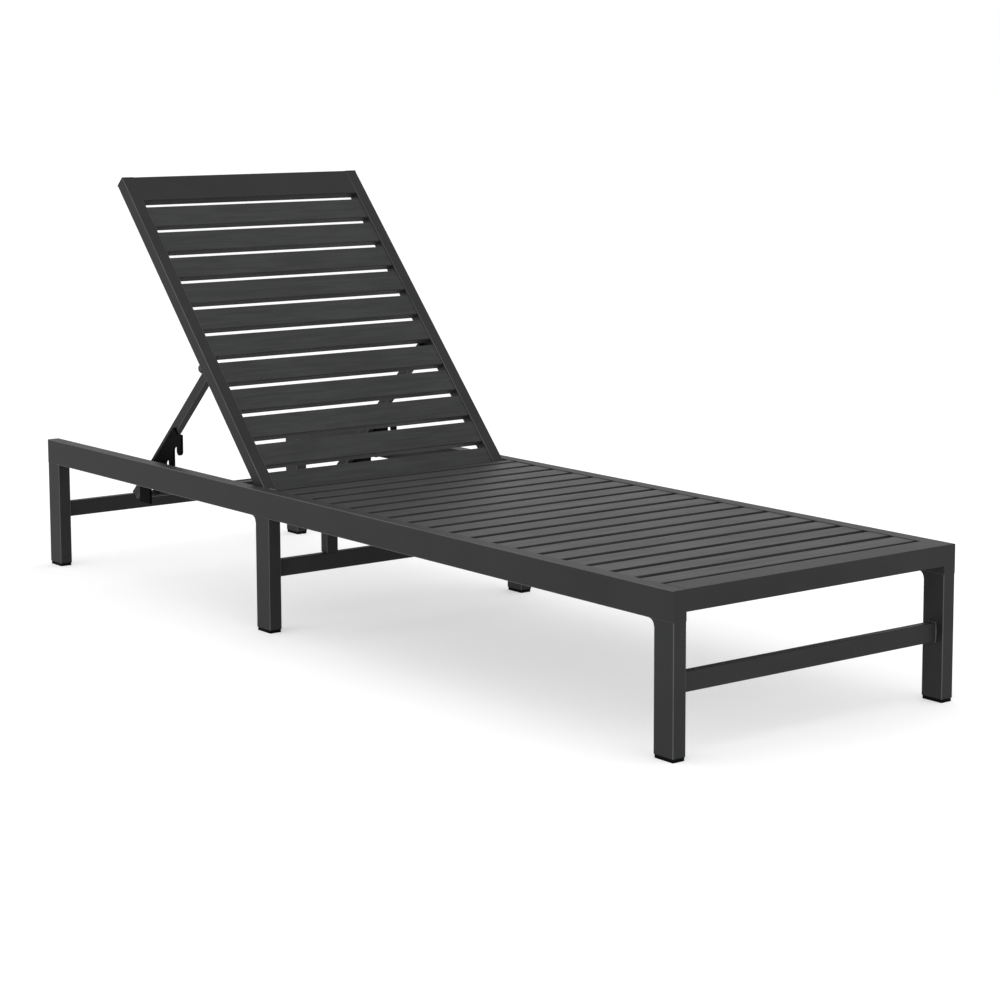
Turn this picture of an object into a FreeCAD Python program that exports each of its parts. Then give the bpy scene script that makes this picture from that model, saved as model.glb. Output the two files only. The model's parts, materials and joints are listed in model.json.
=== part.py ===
"""Reclining sun lounger in powder-coated aluminium tube, with a slatted seat and backrest.

Frame: millimetres, +X towards the foot end, +Z up, origin on the floor under the middle of the frame.
The two long sides are at -Y (near) and +Y (far). The backrest stands at its third notch.
"""
import FreeCAD, Part
import os
from FreeCAD import Placement, Rotation, Vector

DRIVING_SIZES = [
    ("frame_length", 1930), ("frame_width", 593), ("frame_height", 256),
    ("tube_wall", 2), ("slat_wall", 1.2), ("edge_round", 1.4),
    ("rail_width", 25), ("rail_height", 48),
    ("leg_depth", 44),
    ("foot_rail_depth", 50), ("foot_rail_height", 34),
    ("cap_height", 6), ("cap_inset", 1), ("cap_plug", 12), ("plug_play", 0.2),
    ("stretcher_depth", 15), ("stretcher_height", 31), ("stretcher_clear", 98),
    ("post_depth", 20), ("post_width", 24), ("post_offset", 151.5), ("crossbar_height", 32),
    ("slat_width", 48), ("slat_thickness", 14),
    ("seat_slat_width", 45), ("seat_gap", 13.71), ("seat_recess", 1.5), ("seat_head_gap", 2),
    ("ledge_width", 15), ("ledge_height", 8),
    ("rest_bar_depth", 20), ("rest_bar_height", 20), ("rest_bar_reach", 208.5), ("rest_bar_play", 1),
    ("recline", 47.4), ("back_tail", 20), ("tail_clear", 7.7), ("slat_tail_gap", 8.95),
    ("back_side_gap", 1.5), ("hinge_play", 0.3),
    ("stile_width", 24), ("stile_thickness", 25), ("stile_cap", 2),
    ("top_rail_width", 59.15), ("back_gap", 14.7), ("slat_recess", 2),
    ("pin_radius", 4), ("pin_play", 0.05), ("hinge_collar_radius", 9), ("pin_stop", 1),
    ("prop_pivot_reach", 299.9), ("prop_pivot_drop", 9.5), ("lug_thickness", 16), ("lug_radius", 9),
    ("arm_width", 15), ("arm_depth", 20), ("arm_wall", 1.5), ("arm_side_play", 1),
    ("arm_length", 406), ("arm_head", 12), ("bolt_head_radius", 6.5), ("bolt_head_height", 3),
    ("bolt_play", 0.1),
    ("arm_cap", 2), ("tie_bar_radius", 7), ("tie_bar_wall", 1.5), ("tie_bar_reach", 398), ("tie_bar_drop", 6),
    ("comb_thickness", 5), ("comb_start", 180), ("comb_end", 369), ("comb_top", 2), ("comb_bottom", 32.3),
    ("notch_pitch", 42.7), ("first_notch", 208.5), ("notch_drop", 37.9), ("notch_radius", 7),
    ("finger_width", 16.7), ("finger_tip_rise", 1.35), ("finger_root", 32), ("end_finger_width", 38),
    ("notch_pin_radius", 6), ("notch_pin_play", 1), ("notch_pin_rise", 11.6),
]
SEAT_SLATS = 18
BACK_SLATS = 11
NOTCHES = 4
RESTING_NOTCH = 3
SMALLEST_SOLID = 1
SIDES = (("near", -1), ("far", 1))

doc = FreeCAD.newDocument("sun_lounger")
sheet = doc.addObject("Spreadsheet::Sheet", "Size")
for row, (alias, value) in enumerate(DRIVING_SIZES, start=1):
    sheet.set("A%d" % row, alias)
    sheet.set("B%d" % row, str(value))
    sheet.setAlias("B%d" % row, alias)
doc.recompute()

# Places that several sub-parts share, written once as expressions on the sheet.
END = "Size.frame_length / 2"
OUTER = "Size.frame_width / 2"
INNER = "(Size.frame_width / 2 - Size.rail_width)"
RAIL_BOTTOM = "(Size.frame_height - Size.rail_height)"
SLAT_BOTTOM = "(Size.frame_height - Size.seat_recess - Size.slat_thickness)"
SEAT_FRONT = "(%s - Size.foot_rail_depth)" % END
SEAT_PITCH = "(Size.seat_slat_width + Size.seat_gap)"
MID_STRETCHER_FRONT = "(%s - %d * %s - Size.seat_head_gap)" % (SEAT_FRONT, SEAT_SLATS, SEAT_PITCH)
MID_LEG_FRONT = "(%s + (Size.leg_depth - Size.stretcher_depth) / 2)" % MID_STRETCHER_FRONT
PIVOT_X = "(%s - Size.post_depth - Size.tail_clear - Size.back_tail)" % MID_STRETCHER_FRONT
PIVOT_Z = "(Size.frame_height - Size.stile_thickness / 2)"
BACK_OUTER = "(%s - Size.back_side_gap)" % INNER
BACK_INNER = "(%s - Size.stile_width)" % BACK_OUTER
BACK_LENGTH = "(Size.top_rail_width + %d * (Size.back_gap + Size.slat_width) + %s)" % (
    BACK_SLATS, "Size.slat_tail_gap - Size.back_tail")
LEAN = "(Size.recline * 1 deg)"
PROP_DEPTH = "(Size.stile_thickness / 2 + Size.prop_pivot_drop)"
PROP_X = "(%s - Size.prop_pivot_reach * cos(%s) - %s * sin(%s))" % (PIVOT_X, LEAN, PROP_DEPTH, LEAN)
PROP_Z = "(%s + Size.prop_pivot_reach * sin(%s) - %s * cos(%s))" % (PIVOT_Z, LEAN, PROP_DEPTH, LEAN)
ARM_OUTER = "(%s - Size.arm_side_play)" % BACK_INNER
ARM_INNER = "(%s - Size.arm_width)" % ARM_OUTER
COMB_OUTER = "(%s + Size.comb_thickness)" % ARM_OUTER
RESTING_REACH = "(Size.first_notch + %d * Size.notch_pitch)" % (RESTING_NOTCH - 1)
NOTCH_PIN_Z = "(%s + Size.notch_pin_rise)" % RAIL_BOTTOM
# The arm leans just far enough to bring its resting notch down to the height of the notch pin.
NOTCH_RADIUS_ABOUT_PROP = "sqrt(%s ^ 2 + Size.notch_drop ^ 2)" % RESTING_REACH
ARM_LEAN = "(asin((%s - %s) / %s) - atan(Size.notch_drop / %s))" % (
    PROP_Z, NOTCH_PIN_Z, NOTCH_RADIUS_ABOUT_PROP, RESTING_REACH)
NOTCH_PIN_X = "(%s - %s * cos(%s) + Size.notch_drop * sin(%s))" % (
    PROP_X, RESTING_REACH, ARM_LEAN, ARM_LEAN)

# The three local frames: the fixed frame, the backrest's (origin on its hinge, lying towards -X) and
# the prop's (origin on its pivot, lying towards -X), each with the angle that it is turned about +Y.
FIXED = ("0", "0", "0")
ON_BACK = (PIVOT_X, PIVOT_Z, LEAN)
ON_PROP = (PROP_X, PROP_Z, "-" + ARM_LEAN)

AXES = {"x": Vector(1, 0, 0), "y": Vector(0, 1, 0), "z": Vector(0, 0, 1)}
nodes = []


def bind_place(thing, x, y, z):
    """Tie the three coordinates of an object's place to expressions."""
    for axis, expression in zip("xyz", (x, y, z)):
        thing.setExpression("Placement.Base." + axis, str(expression))


def turn_about_y(thing, angle):
    """Turn an object about +Y by an expression that gives an angle."""
    thing.Placement = Placement(thing.Placement.Base, Rotation(Vector(0, 1, 0), 1))
    thing.setExpression("Placement.Rotation.Angle", angle)


def new_body(label, frame, is_node=True):
    """Start a body whose own placement is one of the three local frames."""
    body = doc.addObject("PartDesign::Body", label)
    body.Label = label
    x, z, angle = frame
    if angle != "0":
        turn_about_y(body, angle)
        bind_place(body, x, "0", z)
    if is_node:
        nodes.append(body)
    return body


def block(body, start, lengths, cut=False):
    """Add or cut a box from its lowest corner and its three side lengths."""
    box = body.newObject("PartDesign::SubtractiveBox" if cut else "PartDesign::AdditiveBox", "Block")
    for name, expression in zip(("Length", "Width", "Height"), lengths):
        box.setExpression(name, str(expression))
    bind_place(box, *start)
    return box


def disc(body, centre, y_start, y_length, radius, cut=False):
    """Add or cut a cylinder whose axis runs along +Y from y_start."""
    kind = "PartDesign::SubtractiveCylinder" if cut else "PartDesign::AdditiveCylinder"
    cylinder = body.newObject(kind, "Disc")
    cylinder.Placement = Placement(Vector(), Rotation(Vector(1, 0, 0), -90))
    cylinder.setExpression("Radius", str(radius))
    cylinder.setExpression("Height", str(y_length))
    bind_place(cylinder, centre[0], y_start, centre[1])
    return cylinder


def round_long_edges(body, feature, along, radius="Size.edge_round"):
    """Fillet the edges of a box that run along one axis."""
    doc.recompute()
    names = []
    for number, edge in enumerate(feature.Shape.Edges, start=1):
        direction = edge.Vertexes[1].Point - edge.Vertexes[0].Point
        if abs(direction.normalize().dot(AXES[along])) > 0.99:
            names.append("Edge%d" % number)
    fillet = body.newObject("PartDesign::Fillet", "RoundedEdges")
    fillet.Base = (feature, names)
    fillet.setExpression("Radius", radius)
    return fillet


def tube(label, start, lengths, along, wall="Size.tube_wall", frame=FIXED, closed=False, is_node=True):
    """Make a rectangular tube with rounded long edges; closed leaves a wall across each end."""
    body = new_body(label, frame, is_node)
    round_long_edges(body, block(body, start, lengths), along)
    bore_start = list(start)
    bore_lengths = list(lengths)
    for number, axis in enumerate("xyz"):
        if axis != along or closed:
            bore_start[number] = "%s + %s" % (start[number], wall)
            bore_lengths[number] = "%s - 2 * %s" % (lengths[number], wall)
    block(body, bore_start, bore_lengths, cut=True)
    return body


def group(label, bodies):
    """Keep small identical pieces together as one node of separate solids."""
    compound = doc.addObject("Part::Compound", label)
    compound.Label = label
    compound.Links = bodies
    nodes.append(compound)
    return compound


def side_span(sign, inner, outer):
    """Give the y start and the y length of a span between two distances from the centre plane."""
    return ("%s" % inner if sign > 0 else "-%s" % outer), "(%s - %s)" % (outer, inner)


def side_rail(side, sign):
    """A side rail, bored on its inner face for the hinge pin and the notch pin."""
    y, width = side_span(sign, INNER, "(%s)" % OUTER)
    body = tube("side_rail_" + side, ("-" + END, y, RAIL_BOTTOM),
                ("Size.frame_length", width, "Size.rail_height"), "x", closed=True)
    wall_start, wall_depth = side_span(sign, INNER, "(%s + Size.tube_wall)" % INNER)
    disc(body, (PIVOT_X, PIVOT_Z), wall_start, wall_depth, "Size.pin_radius + Size.pin_play", cut=True)
    disc(body, (NOTCH_PIN_X, NOTCH_PIN_Z), wall_start, wall_depth,
         "Size.pin_radius + Size.pin_play", cut=True)


def legs_and_caps():
    """Six legs with a moulded cap plugged into the bottom of each."""
    rows = (("foot", "(%s - Size.leg_depth)" % END), ("mid", "(%s - Size.leg_depth)" % MID_LEG_FRONT),
            ("head", "(-%s)" % END))
    caps = []
    for row, x in rows:
        for side, sign in SIDES:
            y, width = side_span(sign, INNER, "(%s)" % OUTER)
            tube("leg_%s_%s" % (row, side), (x, y, "Size.cap_height"),
                 ("Size.leg_depth", width, "%s - Size.cap_height" % RAIL_BOTTOM), "z")
            cap = new_body("foot_cap_%s_%s" % (row, side), FIXED, is_node=False)
            foot = block(cap, ("%s + Size.cap_inset" % x, "%s + Size.cap_inset" % y, "0"),
                         ("Size.leg_depth - 2 * Size.cap_inset", "%s - 2 * Size.cap_inset" % width,
                          "Size.cap_height"))
            round_long_edges(cap, foot, "z")
            inset = "Size.tube_wall + Size.plug_play"
            block(cap, ("%s + %s" % (x, inset), "%s + %s" % (y, inset), "0"),
                  ("Size.leg_depth - 2 * (%s)" % inset, "%s - 2 * (%s)" % (width, inset),
                   "Size.cap_height + Size.cap_plug"))
            caps.append(cap)
    group("foot_caps", caps)


def stretchers():
    """Three low cross tubes, one between each pair of legs."""
    inset = "(Size.leg_depth - Size.stretcher_depth) / 2"
    starts = (("foot", "%s - Size.leg_depth + %s" % (END, inset)),
              ("mid", "%s - Size.stretcher_depth" % MID_STRETCHER_FRONT),
              ("head", "-%s + %s" % (END, inset)))
    for row, x in starts:
        tube("stretcher_" + row, (x, "-" + INNER, "Size.stretcher_clear"),
             ("Size.stretcher_depth", "2 * " + INNER, "Size.stretcher_height"), "y")


def seat_supports():
    """The crossbar at the seat's head end, the two posts under it, and the ledges beside the slats."""
    crossbar_bottom = "(Size.frame_height - Size.crossbar_height)"
    crossbar_x = "%s - Size.post_depth" % MID_STRETCHER_FRONT
    tube("seat_crossbar", (crossbar_x, "-" + INNER, crossbar_bottom),
         ("Size.post_depth", "2 * " + INNER, "Size.crossbar_height"), "y")
    posts = []
    ledges = []
    for side, sign in SIDES:
        stretcher_top = "(Size.stretcher_clear + Size.stretcher_height)"
        posts.append(tube("seat_post_" + side,
                          (crossbar_x, "%d * Size.post_offset - Size.post_width / 2" % sign, stretcher_top),
                          ("Size.post_depth", "Size.post_width",
                           "%s - %s" % (crossbar_bottom, stretcher_top)), "z", is_node=False))
        y, width = side_span(sign, "(%s - Size.ledge_width)" % INNER, INNER)
        ledge = new_body("slat_ledge_" + side, FIXED, is_node=False)
        block(ledge, (MID_STRETCHER_FRONT, y, "%s - Size.ledge_height" % SLAT_BOTTOM),
              ("%s - %s" % (SEAT_FRONT, MID_STRETCHER_FRONT), width, "Size.ledge_height"))
        ledges.append(ledge)
    group("seat_posts", posts)
    group("slat_ledges", ledges)


def seat_slats():
    """The seat slats, counted from the foot rail, so that the last one ends at the head end."""
    for number in range(1, SEAT_SLATS + 1):
        steps = SEAT_SLATS + 1 - number
        x = "%s - %d * %s" % (SEAT_FRONT, steps, SEAT_PITCH)
        tube("seat_slat_%02d" % number, (x, "-" + INNER, SLAT_BOTTOM),
             ("Size.seat_slat_width", "2 * " + INNER, "Size.slat_thickness"), "y", wall="Size.slat_wall")


def fixed_pins():
    """The hinge pins with their collars, and the shorter pins that the notches hook over."""
    hinge_pins = []
    notch_pins = []
    for side, sign in SIDES:
        hinge = new_body("hinge_pin_" + side, FIXED, is_node=False)
        y, length = side_span(sign, "(%s + Size.pin_stop)" % BACK_INNER, "(%s + Size.tube_wall)" % INNER)
        disc(hinge, (PIVOT_X, PIVOT_Z), y, length, "Size.pin_radius")
        y, length = side_span(sign, "(%s + Size.hinge_play)" % BACK_OUTER, INNER)
        disc(hinge, (PIVOT_X, PIVOT_Z), y, length, "Size.hinge_collar_radius")
        hinge_pins.append(hinge)
        notch = new_body("notch_pin_" + side, FIXED, is_node=False)
        y, length = side_span(sign, INNER, "(%s + Size.tube_wall)" % INNER)
        disc(notch, (NOTCH_PIN_X, NOTCH_PIN_Z), y, length, "Size.pin_radius")
        y, length = side_span(sign, "(%s + Size.notch_pin_play)" % COMB_OUTER, INNER)
        disc(notch, (NOTCH_PIN_X, NOTCH_PIN_Z), y, length, "Size.notch_pin_radius")
        notch_pins.append(notch)
    group("hinge_pins", hinge_pins)
    group("notch_pins", notch_pins)


def stile(side, sign):
    """A backrest side tube, bored through both walls for the hinge pin."""
    y, width = side_span(sign, BACK_INNER, BACK_OUTER)
    body = tube("back_stile_" + side,
                ("-(%s - Size.stile_cap)" % BACK_LENGTH, y, "-Size.stile_thickness / 2"),
                ("%s - Size.stile_cap + Size.back_tail" % BACK_LENGTH, width, "Size.stile_thickness"),
                "x", frame=ON_BACK)
    disc(body, ("0", "0"), y, width, "Size.pin_radius + Size.pin_play", cut=True)
    cap = new_body("stile_plug_" + side, ON_BACK, is_node=False)
    block(cap, ("-" + BACK_LENGTH, y, "-Size.stile_thickness / 2"),
          ("Size.stile_cap", width, "Size.stile_thickness"))
    inset = "(Size.tube_wall + Size.plug_play)"
    block(cap, ("-" + BACK_LENGTH, "%s + %s" % (y, inset), "-Size.stile_thickness / 2 + %s" % inset),
          ("Size.stile_cap + Size.cap_plug", "%s - 2 * %s" % (width, inset),
           "Size.stile_thickness - 2 * %s" % inset))
    return cap


def back_slats():
    """The top rail and the slats below it, fitted between the stiles."""
    span = "2 * " + BACK_INNER
    slat_bottom = "Size.stile_thickness / 2 - Size.slat_recess - Size.slat_thickness"
    tube("back_top_rail", ("-" + BACK_LENGTH, "-" + BACK_INNER, slat_bottom),
         ("Size.top_rail_width", span, "(Size.slat_recess + Size.slat_thickness)"), "y", frame=ON_BACK)
    for number in range(1, BACK_SLATS + 1):
        steps = BACK_SLATS + 1 - number
        x = "-%s + Size.top_rail_width + %d * Size.back_gap + %d * Size.slat_width" % (
            BACK_LENGTH, steps, steps - 1)
        tube("back_slat_%02d" % number,
             (x, "-" + BACK_INNER, slat_bottom),
             ("Size.slat_width", span, "Size.slat_thickness"), "y", wall="Size.slat_wall", frame=ON_BACK)


def prop_pivots():
    """The lugs behind the stiles and the bolts through them that carry the prop arms."""
    lugs = []
    bolts = []
    centre = ("-Size.prop_pivot_reach", "-" + PROP_DEPTH)
    for side, sign in SIDES:
        lug = new_body("prop_lug_" + side, ON_BACK, is_node=False)
        y, width = side_span(sign, BACK_INNER, "(%s + Size.lug_thickness)" % BACK_INNER)
        block(lug, ("-Size.prop_pivot_reach - Size.lug_radius", y, "-" + PROP_DEPTH),
              ("2 * Size.lug_radius", width, "Size.prop_pivot_drop"))
        disc(lug, centre, y, width, "Size.lug_radius")
        disc(lug, centre, y, width, "Size.pin_radius + Size.pin_play", cut=True)
        lugs.append(lug)
        bolt = new_body("prop_bolt_" + side, ON_BACK, is_node=False)
        inner = "(%s - Size.bolt_play - Size.bolt_head_height)" % ARM_INNER
        outer = "(%s + Size.lug_thickness + Size.bolt_head_height)" % BACK_INNER
        y, width = side_span(sign, inner, outer)
        disc(bolt, centre, y, width, "Size.pin_radius")
        y, width = side_span(sign, inner, "(%s - Size.bolt_play)" % ARM_INNER)
        disc(bolt, centre, y, width, "Size.bolt_head_radius")
        y, width = side_span(sign, "(%s + Size.lug_thickness)" % BACK_INNER, outer)
        disc(bolt, centre, y, width, "Size.bolt_head_radius")
        bolts.append(bolt)
    group("prop_lugs", lugs)
    group("prop_bolts", bolts)


def prop_arm(side, sign):
    """A prop arm, closed at its lower end by a moulded plug."""
    y, width = side_span(sign, ARM_INNER, ARM_OUTER)
    body = tube("prop_arm_" + side, ("-(Size.arm_length - Size.arm_cap)", y, "-Size.arm_depth / 2"),
                ("Size.arm_length - Size.arm_cap + Size.arm_head", width, "Size.arm_depth"), "x",
                wall="Size.arm_wall", frame=ON_PROP)
    disc(body, ("0", "0"), y, width, "Size.pin_radius + Size.pin_play", cut=True)
    plug = new_body("arm_plug_" + side, ON_PROP, is_node=False)
    block(plug, ("-Size.arm_length", y, "-Size.arm_depth / 2"), ("Size.arm_cap", width, "Size.arm_depth"))
    inset = "(Size.arm_wall + Size.plug_play)"
    block(plug, ("-Size.arm_length", "%s + %s" % (y, inset), "-Size.arm_depth / 2 + %s" % inset),
          ("Size.arm_cap + Size.cap_plug", "%s - 2 * %s" % (width, inset),
           "Size.arm_depth - 2 * %s" % inset))
    return plug


def comb(side, sign):
    """A notched plate: a strip along the arm, upright fingers below it and a round seat per notch.

    The last finger is a broad one with a flat tip.
    """
    body = new_body("notch_comb_" + side, ON_PROP)
    y, width = side_span(sign, ARM_OUTER, COMB_OUTER)
    strip = block(body, ("-Size.comb_end", y, "-Size.comb_bottom"),
                  ("Size.comb_end - Size.comb_start", width, "Size.comb_bottom - Size.comb_top"))
    round_long_edges(body, strip, "y", "2 * Size.edge_round")
    cos_arm = "cos(%s)" % ARM_LEAN
    sin_arm = "sin(%s)" % ARM_LEAN
    half_step = "(Size.notch_pitch * %s / 2)" % cos_arm
    for number in range(NOTCHES + 1):
        is_last = number == NOTCHES
        reach = "(Size.first_notch + %d * Size.notch_pitch)" % number
        tip_x = "(-%s + %s * %s + Size.finger_tip_rise * %s)" % (reach, half_step, cos_arm, sin_arm)
        tip_z = "(-Size.notch_drop - %s * %s + Size.finger_tip_rise * %s)" % (half_step, sin_arm, cos_arm)
        # The fingers stand upright at rest, and each one's block starts level with its tip's centre.
        finger_width = "Size.end_finger_width" if is_last else "Size.finger_width"
        back = "(%s - Size.finger_width / 2)" % finger_width
        finger = block(body, ("%s - %s * %s" % (tip_x, back, cos_arm), y,
                              "%s + %s * %s" % (tip_z, back, sin_arm)),
                       (finger_width, width, "Size.finger_root"))
        turn_about_y(finger, ARM_LEAN)
        if not is_last:
            disc(body, (tip_x, tip_z), y, width, "Size.finger_width / 2")
    for number in range(NOTCHES):
        reach = "(Size.first_notch + %d * Size.notch_pitch)" % number
        disc(body, ("-" + reach, "-Size.notch_drop"), y, width, "Size.notch_radius", cut=True)


def tie_bar():
    """The round tube that joins the two arms near their lower ends."""
    body = new_body("prop_tie_bar", ON_PROP)
    centre = ("-Size.tie_bar_reach", "-Size.tie_bar_drop")
    disc(body, centre, "-" + ARM_INNER, "2 * " + ARM_INNER, "Size.tie_bar_radius")
    disc(body, centre, "-" + ARM_INNER, "2 * " + ARM_INNER, "Size.tie_bar_radius - Size.tie_bar_wall",
         cut=True)


def build():
    """Build every sub-part of the lounger."""
    for side, sign in SIDES:
        side_rail(side, sign)
    tube("foot_rail", ("%s - Size.foot_rail_depth" % END, "-" + INNER,
                       "Size.frame_height - Size.foot_rail_height"),
         ("Size.foot_rail_depth", "2 * " + INNER, "Size.foot_rail_height"), "y")
    legs_and_caps()
    stretchers()
    seat_supports()
    tube("rest_bar", ("%s - Size.rest_bar_reach - Size.rest_bar_depth / 2" % PIVOT_X, "-" + INNER,
                      "%s - Size.stile_thickness / 2 - Size.rest_bar_play - Size.rest_bar_height" % PIVOT_Z),
         ("Size.rest_bar_depth", "2 * " + INNER, "Size.rest_bar_height"), "y")
    seat_slats()
    fixed_pins()
    group("stile_plugs", [stile(side, sign) for side, sign in SIDES])
    back_slats()
    prop_pivots()
    group("arm_plugs", [prop_arm(side, sign) for side, sign in SIDES])
    for side, sign in SIDES:
        comb(side, sign)
    tie_bar()


def check():
    """Stop if any object failed or any sub-part has no valid solid."""
    for thing in doc.Objects:
        if "Invalid" in thing.State or "Error" in thing.State:
            raise RuntimeError("%s failed: %s" % (thing.Label, thing.State))
    for node in nodes:
        if node.Shape.isNull() or not node.Shape.isValid() or not node.Shape.Solids:
            raise RuntimeError("%s has no valid solid" % node.Label)
        for solid in node.Shape.Solids:
            if solid.Volume < SMALLEST_SOLID:
                raise RuntimeError("%s holds an empty solid" % node.Label)


build()
doc.recompute()
check()
os.makedirs("parts", exist_ok=True)
for node in nodes:
    node.Shape.exportStep("parts/%s.step" % node.Label)
print("%d sub-parts written" % len(nodes))
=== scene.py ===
"""Looks of the reclining sun lounger: materials, small trim, floor, light and camera round the CAD frame."""
import json
import math

import bmesh
import bpy
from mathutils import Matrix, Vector


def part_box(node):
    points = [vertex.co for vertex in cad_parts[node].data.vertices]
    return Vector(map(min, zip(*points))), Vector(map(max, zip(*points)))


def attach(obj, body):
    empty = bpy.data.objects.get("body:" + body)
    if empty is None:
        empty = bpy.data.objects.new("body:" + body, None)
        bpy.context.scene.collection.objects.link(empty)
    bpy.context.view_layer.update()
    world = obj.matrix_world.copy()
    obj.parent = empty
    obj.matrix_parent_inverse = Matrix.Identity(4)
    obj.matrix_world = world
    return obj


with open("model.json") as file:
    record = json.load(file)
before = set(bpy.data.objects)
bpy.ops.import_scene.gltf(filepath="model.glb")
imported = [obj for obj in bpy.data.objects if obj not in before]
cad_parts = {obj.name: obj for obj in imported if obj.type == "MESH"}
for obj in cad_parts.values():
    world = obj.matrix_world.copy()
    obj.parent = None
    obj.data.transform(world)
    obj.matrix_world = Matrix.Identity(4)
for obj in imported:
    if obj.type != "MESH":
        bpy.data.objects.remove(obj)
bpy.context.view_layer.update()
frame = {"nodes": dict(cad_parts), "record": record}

SIDES = (("near", -1), ("far", 1))

# Sizes of the small trim, in metres.
EDGE_ROUND = 0.0014       # the rounding of the tubes' long edges
SKIN = 0.0001             # how far the trim stays inside the faces it is flush with
WEB_SIZE = 0.011          # leg of the hollow fillet under a rail
WEB_STEPS = 10
WEB_SINK = 0.0004         # how far the fillet's straight legs sink into the tubes
SEAM_DEPTH = 0.0012
BEAD_RADIUS = 0.0013
BEAD_SIDES = 8
BEAD_STEP = 0.004
BEAD_SINK = 0.3           # how far a bead sinks into its cross tube's end, as a share of its radius
RIPPLE_HEIGHT = 0.10      # height of a bead's ripple, as a share of its radius
RIPPLE_TURN = 2.4         # how far the ripple turns from ring to ring, in radians
RIVET_RADIUS = 0.0035
RIVET_HEIGHT = 0.0012
RIVET_SIDES = 24
RIVET_DROP = 0.006        # how far the rivets sit below the arm's middle line
RIVET_SHARES = (0.27, 0.84)                    # where they sit along the comb, from its foot-end side
RIVET_PROFILE = ((1.0, 0.5), (0.6, 1.0))       # shares of the radius and of the height, from rim to top

# The powder coats' linear colours: darker patches, lighter patches, and the painted highlight along the
# rounded edges.
FRAME_COLOURS = ((0.0160, 0.0162, 0.0166), (0.0225, 0.0227, 0.0232), (0.12, 0.12, 0.122))
SLAT_COLOURS = ((0.0205, 0.0209, 0.0218), (0.0300, 0.0306, 0.0318), (0.09, 0.09, 0.092))

# Sockets of the Mix node that carry colours.
MIX_FIRST = 6
MIX_SECOND = 7
MIX_RESULT = 2

FLOOR_REACH = 60.0        # how far the floor reaches from the lounger, in metres
FLOOR_GLOW = 0.45
HORIZON = (-0.12, -0.02)  # rise of a direction between which the surroundings brighten from DIM to white
DIM = 0.4

# Each soft light's name, place and target in metres, size in metres and power in watts.
LIGHTS = (("overhead", (0.2, 0.3, 3.2), (0, 0, 0.2), (4.0, 3.0), 14),
          ("foot_end", (4.4, 0.4, 1.2), (0.9, 0, 0.2), (2.0, 1.6), 24),
          ("near_side", (-1.4, -4.2, 1.0), (-0.4, 0, 0.2), (3.0, 1.6), 26))

CAMERA_PLACE = (3.6829, -2.6773, 1.0092)
CAMERA_AZIMUTH = 51.38    # degrees from -Y towards +X
CAMERA_ELEVATION = 7.49   # degrees above the floor
CAMERA_SHIFT = (-0.0604, -0.1)
LENS = 91.70              # focal length in mm
SENSOR = 36.0             # sensor width in mm


# ---------------------------------------------------------------------------------------- materials

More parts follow.
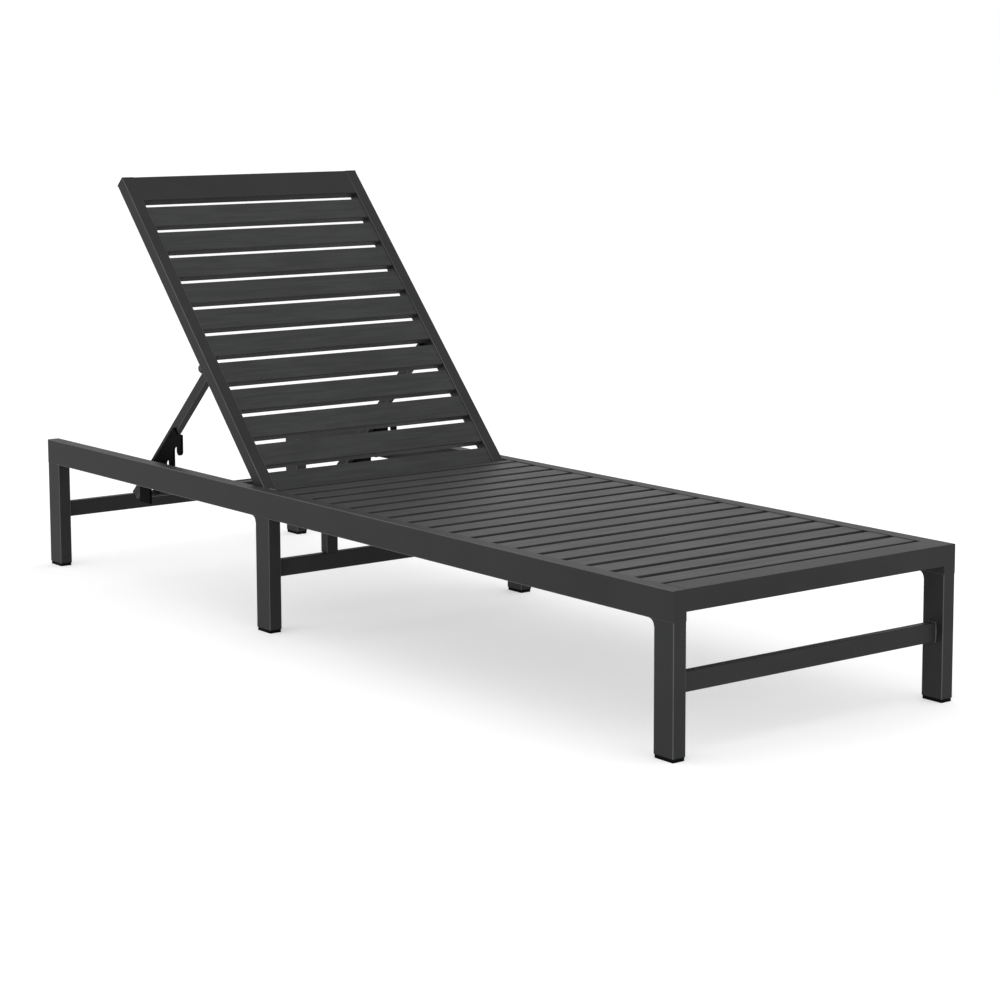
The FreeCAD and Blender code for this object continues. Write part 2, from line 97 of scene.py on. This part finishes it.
class Nodes:
    """A short way to write a material's nodes."""

    def __init__(self, name):
        self.material = bpy.data.materials.new(name)
        self.material.use_nodes = True
        self.tree = self.material.node_tree
        self.shader = self.tree.nodes["Principled BSDF"]
        self.object_space = self.add("ShaderNodeTexCoord").outputs["Object"]

    def add(self, kind, **settings):
        """Add a node with the given settings."""
        node = self.tree.nodes.new(kind)
        for name, value in settings.items():
            setattr(node, name, value)
        return node

    def join(self, source, target):
        """Link an output to an input."""
        self.tree.links.new(source, target)

    def feed(self, socket, value):
        """Set a socket to a number, or link it to another node's output."""
        if isinstance(value, (int, float)):
            socket.default_value = value
        else:
            self.join(value, socket)

    def drive(self, **values):
        """Feed the shader's sockets, each named with underscores for spaces."""
        for name, value in values.items():
            self.feed(self.shader.inputs[name.replace("_", " ")], value)

    def noise(self, scale, detail=3.0, roughness=0.5, stretch=(1, 1, 1)):
        """A noise whose features are about 1/scale metres, made finer along each axis by its stretch."""
        mapping = self.add("ShaderNodeMapping")
        mapping.inputs["Scale"].default_value = stretch
        self.join(self.object_space, mapping.inputs["Vector"])
        texture = self.add("ShaderNodeTexNoise")
        texture.inputs["Scale"].default_value = scale
        texture.inputs["Detail"].default_value = detail
        texture.inputs["Roughness"].default_value = roughness
        self.join(mapping.outputs["Vector"], texture.inputs["Vector"])
        return texture.outputs["Fac"]

    def ramp(self, value, *stops):
        """A colour ramp through (position, colour) stops."""
        node = self.add("ShaderNodeValToRGB")
        while len(node.color_ramp.elements) < len(stops):
            node.color_ramp.elements.new(0.5)
        for element, (position, colour) in zip(node.color_ramp.elements, stops):
            element.position = position
            element.color = (*colour, 1)
        self.feed(node.inputs["Fac"], value)
        return node.outputs["Color"]

    def span(self, value, low, high, start=0.0, end=1.0):
        """Map a value's range from low..high to start..end."""
        node = self.add("ShaderNodeMapRange")
        node.inputs["From Min"].default_value = low
        node.inputs["From Max"].default_value = high
        node.inputs["To Min"].default_value = start
        node.inputs["To Max"].default_value = end
        self.feed(node.inputs["Value"], value)
        return node.outputs["Result"]

    def math(self, operation, first, second):
        """Add, subtract or multiply two values."""
        node = self.add("ShaderNodeMath", operation=operation)
        self.feed(node.inputs[0], first)
        self.feed(node.inputs[1], second)
        return node.outputs["Value"]

    def mix(self, factor, first, second):
        """Blend two colours, each a colour or another node's output."""
        node = self.add("ShaderNodeMix", data_type="RGBA")
        self.feed(node.inputs["Factor"], factor)
        for socket, colour in ((node.inputs[MIX_FIRST], first), (node.inputs[MIX_SECOND], second)):
            if isinstance(colour, tuple):
                socket.default_value = (*colour, 1)
            else:
                self.join(colour, socket)
        return node.outputs[MIX_RESULT]

    def bump(self, height, distance, strength):
        """A bump from a height value, its relief at most the given distance in metres."""
        node = self.add("ShaderNodeBump")
        node.inputs["Strength"].default_value = strength
        node.inputs["Distance"].default_value = distance
        self.feed(node.inputs["Height"], height)
        return node.outputs["Normal"]

    def edge_highlight(self, grain):
        """Painted highlight: where the rounded edges along a tube's two sides catch the light, broken up by a
        grain.
        """
        normal = self.add("ShaderNodeSeparateXYZ")
        self.join(self.add("ShaderNodeTexCoord").outputs["Normal"], normal.inputs["Vector"])
        sideways = self.math("MULTIPLY", normal.outputs["Y"], normal.outputs["Y"])
        rounded = self.math("MULTIPLY", sideways, self.math("SUBTRACT", 1.0, sideways))
        return self.math("MULTIPLY", self.span(rounded, 0.01, 0.09), self.span(grain, 0.3, 0.7, 0.5, 1.0))


def powder_coat(name, colours, shine, streaks=0.0):
    """Fine-textured matt powder coat; streaks add a drawn grain along +Y."""
    dark, light, highlight_colour = colours
    n = Nodes(name)
    cloud = n.noise(7, detail=4, roughness=0.6)
    grain = n.noise(950, detail=2)
    peel = n.noise(260, detail=2, roughness=0.4)
    colour = n.ramp(cloud, (0.3, dark), (0.72, light))
    height = n.math("ADD", n.math("MULTIPLY", grain, 0.55), n.math("MULTIPLY", peel, 0.45))
    roughness = n.span(n.math("ADD", grain, n.math("MULTIPLY", cloud, 0.6)), 0.5, 1.1, 0.42, 0.58)
    if streaks:
        drawn = n.noise(1, detail=5, roughness=0.62, stretch=(300, 5.5, 300))
        dashes = n.noise(1, detail=3, stretch=(110, 11, 110))
        bright = tuple(1.9 * channel for channel in light)
        deep = tuple(0.5 * channel for channel in dark)
        colour = n.mix(n.span(drawn, 0.46, 0.74, 0.0, streaks), colour, bright)
        colour = n.mix(n.span(dashes, 0.45, 0.62, 0.0, 0.8 * streaks), colour, deep)
        height = n.math("ADD", height, n.math("MULTIPLY", drawn, 1.2))
        roughness = n.math("ADD", roughness, n.span(drawn, 0.4, 0.7, -0.05, 0.10))
    # Painted highlight: the rounded tube edges are lightened towards the third colour, standing in for the
    # light they catch, and made a little glossier.
    highlight_mask = n.edge_highlight(cloud)
    n.drive(Base_Color=n.mix(n.math("MULTIPLY", highlight_mask, 0.8), colour, highlight_colour),
            Roughness=n.math("SUBTRACT", roughness, n.math("MULTIPLY", highlight_mask, 0.1)),
            Normal=n.bump(height, 0.00016, 0.55),
            Metallic=0.0, Specular_IOR_Level=shine, Sheen_Weight=0.02, Sheen_Roughness=0.4)
    return n.material


def moulded_plastic(name):
    """Black glass-filled polyamide with a spark-eroded grain and faint flow marks."""
    n = Nodes(name)
    grain = n.noise(1400, detail=2)
    flow = n.noise(30, detail=3, stretch=(1, 1, 0.35))
    colour = n.ramp(flow, (0.3, (0.0018, 0.0018, 0.0019)), (0.75, (0.0032, 0.0032, 0.0034)))
    # Painted highlight: the rounded edges are lightened a little, standing in for the light they catch.
    plastic_edge_highlight = n.edge_highlight(flow)
    n.drive(Base_Color=n.mix(n.math("MULTIPLY", plastic_edge_highlight, 0.3), colour, (0.02, 0.02, 0.021)),
            Roughness=n.span(n.math("ADD", grain, flow), 0.7, 1.3, 0.55, 0.72),
            Normal=n.bump(grain, 0.0001, 0.5),
            Specular_IOR_Level=0.03)
    return n.material


def black_steel(name):
    """Black-oxide steel fixings, turned, with a ring grain and a dull film in patches."""
    n = Nodes(name)
    rings = n.noise(1, detail=4, roughness=0.6, stretch=(900, 60, 900))
    film = n.noise(90, detail=3)
    n.drive(Base_Color=n.ramp(film, (0.3, (0.020, 0.020, 0.021)), (0.7, (0.045, 0.045, 0.047))),
            Roughness=n.span(n.math("ADD", rings, film), 0.6, 1.4, 0.24, 0.46),
            Normal=n.bump(rings, 0.00006, 0.5),
            Metallic=1.0)
    return n.material


MATERIALS = {
    "frame_coat": powder_coat("frame_coat", FRAME_COLOURS, shine=0.12),
    "slat_coat": powder_coat("slat_coat", SLAT_COLOURS, shine=0.16, streaks=0.4),
    "black_plastic": moulded_plastic("black_plastic"),
    "fixing_steel": black_steel("fixing_steel"),
}


def paint(piece, slot):
    """Give a piece the material of a slot."""
    piece.data.materials.clear()
    piece.data.materials.append(MATERIALS[slot])


def finish_cad_nodes():
    """Paint every carried-over CAD node with the finish of its slot."""
    for entry in frame["record"]["subparts"]:
        paint(frame["nodes"][entry["node"]], entry["material_slot"])


# --------------------------------------------------------------------------------------- small trim

def add_piece(name, body, slot, build, *sizes):
    """Make a mesh piece with a build function and its sizes, paint it and tie it to a body."""
    bm = bmesh.new()
    build(bm, *sizes)
    bmesh.ops.recalc_face_normals(bm, faces=bm.faces)
    mesh = bpy.data.meshes.new(name)
    bm.to_mesh(mesh)
    bm.free()
    piece = bpy.data.objects.new(name, mesh)
    bpy.context.scene.collection.objects.link(piece)
    paint(piece, slot)
    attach(piece, body)


def wrap(bm, rings):
    """Join each ring of vertices to the next."""
    for ring, following in zip(rings, rings[1:]):
        for step, vertex in enumerate(ring):
            beyond = (step + 1) % len(ring)
            bm.faces.new((vertex, ring[beyond], following[beyond], following[step]))


def solid(bm, outlines):
    """A closed solid through a row of outlines, with a cap at both ends."""
    rings = [[bm.verts.new(point) for point in outline] for outline in outlines]
    wrap(bm, rings)
    bm.faces.new(rings[0])
    bm.faces.new(rings[-1])


def corner_web(bm, x, z, y_start, y_end):
    """A hollow fillet that fills the corner at (x, z), towards the head end and under the rail."""
    outline = [(x + WEB_SINK, z + WEB_SINK), (x - WEB_SIZE, z + WEB_SINK)]
    for step in range(WEB_STEPS + 1):
        turn = math.pi / 2 * step / WEB_STEPS
        outline.append((x - WEB_SIZE * (1 - math.sin(turn)), z - WEB_SIZE * (1 - math.cos(turn))))
    outline.append((x + WEB_SINK, z - WEB_SIZE))
    solid(bm, [[(x, y, z) for x, z in outline] for y in (y_start, y_end)])


def corner_webs():
    """The hollow weld fillets between the side rails and the head side of the foot and mid legs."""
    for row in ("foot", "mid"):
        for side, _ in SIDES:
            low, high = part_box("leg_%s_%s" % (row, side))
            add_piece("web_%s_%s" % (row, side), "base", "frame_coat",
                      corner_web, low.x, high.z, low.y + SKIN, high.y - SKIN)


def seam_fill(bm, x_start, x_end, y_inner, y_outer, z_bottom, z_top):
    """A flat bar of weld, its edges chamfered."""
    outline = ((y_inner, z_bottom), (y_outer, z_bottom), (y_outer, z_top), (y_inner, z_top))
    solid(bm, [[(x, y, z) for y, z in outline] for x in (x_start, x_end)])
    bmesh.ops.bevel(bm, geom=list(bm.edges), offset=SKIN, segments=1, affect="EDGES")


def seam_fills():
    """The flush weld that fills the groove between each leg's top and the rounded edge of its rail."""
    for row in ("foot", "mid", "head"):
        for side, sign in SIDES:
            low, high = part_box("leg_%s_%s" % (row, side))
            outer = high.y if sign > 0 else low.y
            add_piece("seam_%s_%s" % (row, side), "base", "frame_coat", seam_fill,
                      low.x + EDGE_ROUND, high.x - EDGE_ROUND,
                      outer - sign * SEAM_DEPTH, outer - sign * SKIN,
                      high.z - SEAM_DEPTH, high.z + EDGE_ROUND)


def bead(bm, corners):
    """A weld bead, slightly rippled, along the closed loop of straight runs between the corners."""
    path = []
    for start, end in zip(corners, [*corners[1:], corners[0]]):
        count = max(2, round((end - start).length / BEAD_STEP))
        path += [start.lerp(end, number / count) for number in range(count)]
    centre = sum(path, Vector()) / len(path)
    normal = (corners[1] - corners[0]).cross(corners[2] - corners[1]).normalized()
    rings = []
    for number, point in enumerate(path):
        outward = (point - centre).normalized()
        radius = BEAD_RADIUS * (1 + RIPPLE_HEIGHT * math.sin(RIPPLE_TURN * number))
        turns = [2 * math.pi * side / BEAD_SIDES for side in range(BEAD_SIDES)]
        rings.append([bm.verts.new(point + radius * (math.cos(turn) * outward + math.sin(turn) * normal))
                      for turn in turns])
    wrap(bm, [*rings, rings[0]])


def cross_tube_beads():
    """The weld bead round both ends of every fixed cross tube."""
    for name in ("stretcher_foot", "stretcher_mid", "stretcher_head", "seat_crossbar", "rest_bar"):
        low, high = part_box(name)
        for side, sign in SIDES:
            y = (high.y if sign > 0 else low.y) - sign * BEAD_RADIUS * BEAD_SINK
            corners = [Vector((low.x, y, low.z)), Vector((high.x, y, low.z)),
                       Vector((high.x, y, high.z)), Vector((low.x, y, high.z))]
            add_piece("bead_%s_%s" % (name, side), "base", "frame_coat", bead, corners)


def rivet(bm, centre, sign):
    """A low rivet head on the face at its centre, towards the side of the sign."""
    levels = [(RIVET_RADIUS, -SKIN)]
    levels += [(width * RIVET_RADIUS, rise * RIVET_HEIGHT) for width, rise in RIVET_PROFILE]
    turns = [2 * math.pi * step / RIVET_SIDES for step in range(RIVET_SIDES)]
    outlines = []
    for radius, out in levels:
        outlines.append([centre + Vector((radius * math.cos(turn), sign * out, radius * math.sin(turn)))
                         for turn in turns])
    solid(bm, outlines)


def comb_rivets():
    """Two low rivet heads on the outer face of each comb, near the ends of its strip."""
    for side, sign in SIDES:
        low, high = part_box("notch_comb_" + side)
        arm_low, arm_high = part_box("prop_arm_" + side)
        along = Vector((arm_high.x - arm_low.x, 0, arm_high.z - arm_low.z)).normalized()
        below = Vector((along.z, 0, -along.x)) * RIVET_DROP
        middle = (arm_low + arm_high) / 2
        for number, share in enumerate(RIVET_SHARES, start=1):
            x = high.x + (low.x - high.x) * share
            centre = middle + along * ((x - middle.x) / along.x) + below
            centre.y = high.y if sign > 0 else low.y
            add_piece("rivet_%s_%d" % (side, number), "prop", "black_plastic", rivet, centre, sign)


# ---------------------------------------------------------------------------------- floor and light

def floor():
    """A plain pale floor, wide enough to fill the view to its horizon."""
    mesh = bpy.data.meshes.new("floor")
    bm = bmesh.new()
    bmesh.ops.create_grid(bm, x_segments=8, y_segments=8, size=FLOOR_REACH)
    bm.to_mesh(mesh)
    bm.free()
    ground = bpy.data.objects.new("floor", mesh)
    bpy.context.scene.collection.objects.link(ground)
    n = Nodes("studio_floor")
    mottle = n.noise(3, detail=2)
    n.drive(Base_Color=n.ramp(mottle, (0.3, (0.61, 0.61, 0.61)), (0.7, (0.63, 0.63, 0.63))),
            Roughness=n.span(mottle, 0.3, 0.7, 0.75, 0.85),
            Specular_IOR_Level=0.0, Emission_Strength=FLOOR_GLOW)
    n.shader.inputs["Emission Color"].default_value = (1, 1, 1, 1)
    mesh.materials.append(n.material)


def soft_light(name, place, target, size, power):
    """A large soft rectangle of light that points at a target."""
    light = bpy.data.lights.new(name, "AREA")
    light.shape = "RECTANGLE"
    light.size, light.size_y = size
    light.energy = power
    lamp = bpy.data.objects.new(name, light)
    lamp.location = place
    lamp.rotation_euler = (Vector(target) - Vector(place)).to_track_quat("-Z", "Y").to_euler()
    bpy.context.scene.collection.objects.link(lamp)


def studio():
    """White surroundings, dimmer below the horizon, with weak lights overhead, beside and beyond the foot."""
    world = bpy.data.worlds.new("studio")
    world.use_nodes = True
    tree = world.node_tree
    background = tree.nodes["Background"]
    background.inputs["Color"].default_value = (1, 1, 1, 1)
    direction = tree.nodes.new("ShaderNodeSeparateXYZ")
    tree.links.new(tree.nodes.new("ShaderNodeTexCoord").outputs["Generated"], direction.inputs["Vector"])
    height = tree.nodes.new("ShaderNodeMapRange")
    for name, value in zip(("From Min", "From Max", "To Min", "To Max"), (*HORIZON, DIM, 1.0)):
        height.inputs[name].default_value = value
    tree.links.new(direction.outputs["Z"], height.inputs["Value"])
    tree.links.new(height.outputs["Result"], background.inputs["Strength"])
    bpy.context.scene.world = world
    for settings in LIGHTS:
        soft_light(*settings)


def camera():
    """The view from beyond the foot end's near corner."""
    azimuth = math.radians(CAMERA_AZIMUTH)
    elevation = math.radians(CAMERA_ELEVATION)
    back = Vector((math.sin(azimuth) * math.cos(elevation), -math.cos(azimuth) * math.cos(elevation),
                   math.sin(elevation)))
    data = bpy.data.cameras.new("view")
    data.sensor_width = SENSOR
    data.lens = LENS
    data.shift_x, data.shift_y = CAMERA_SHIFT
    viewer = bpy.data.objects.new("view", data)
    viewer.location = CAMERA_PLACE
    viewer.rotation_mode = "QUATERNION"
    viewer.rotation_quaternion = (-back).to_track_quat("-Z", "Y")
    bpy.context.scene.collection.objects.link(viewer)
    bpy.context.scene.camera = viewer
    bpy.context.scene.view_settings.view_transform = "Standard"


finish_cad_nodes()
corner_webs()
seam_fills()
cross_tube_beads()
comb_rivets()
floor()
studio()
camera()
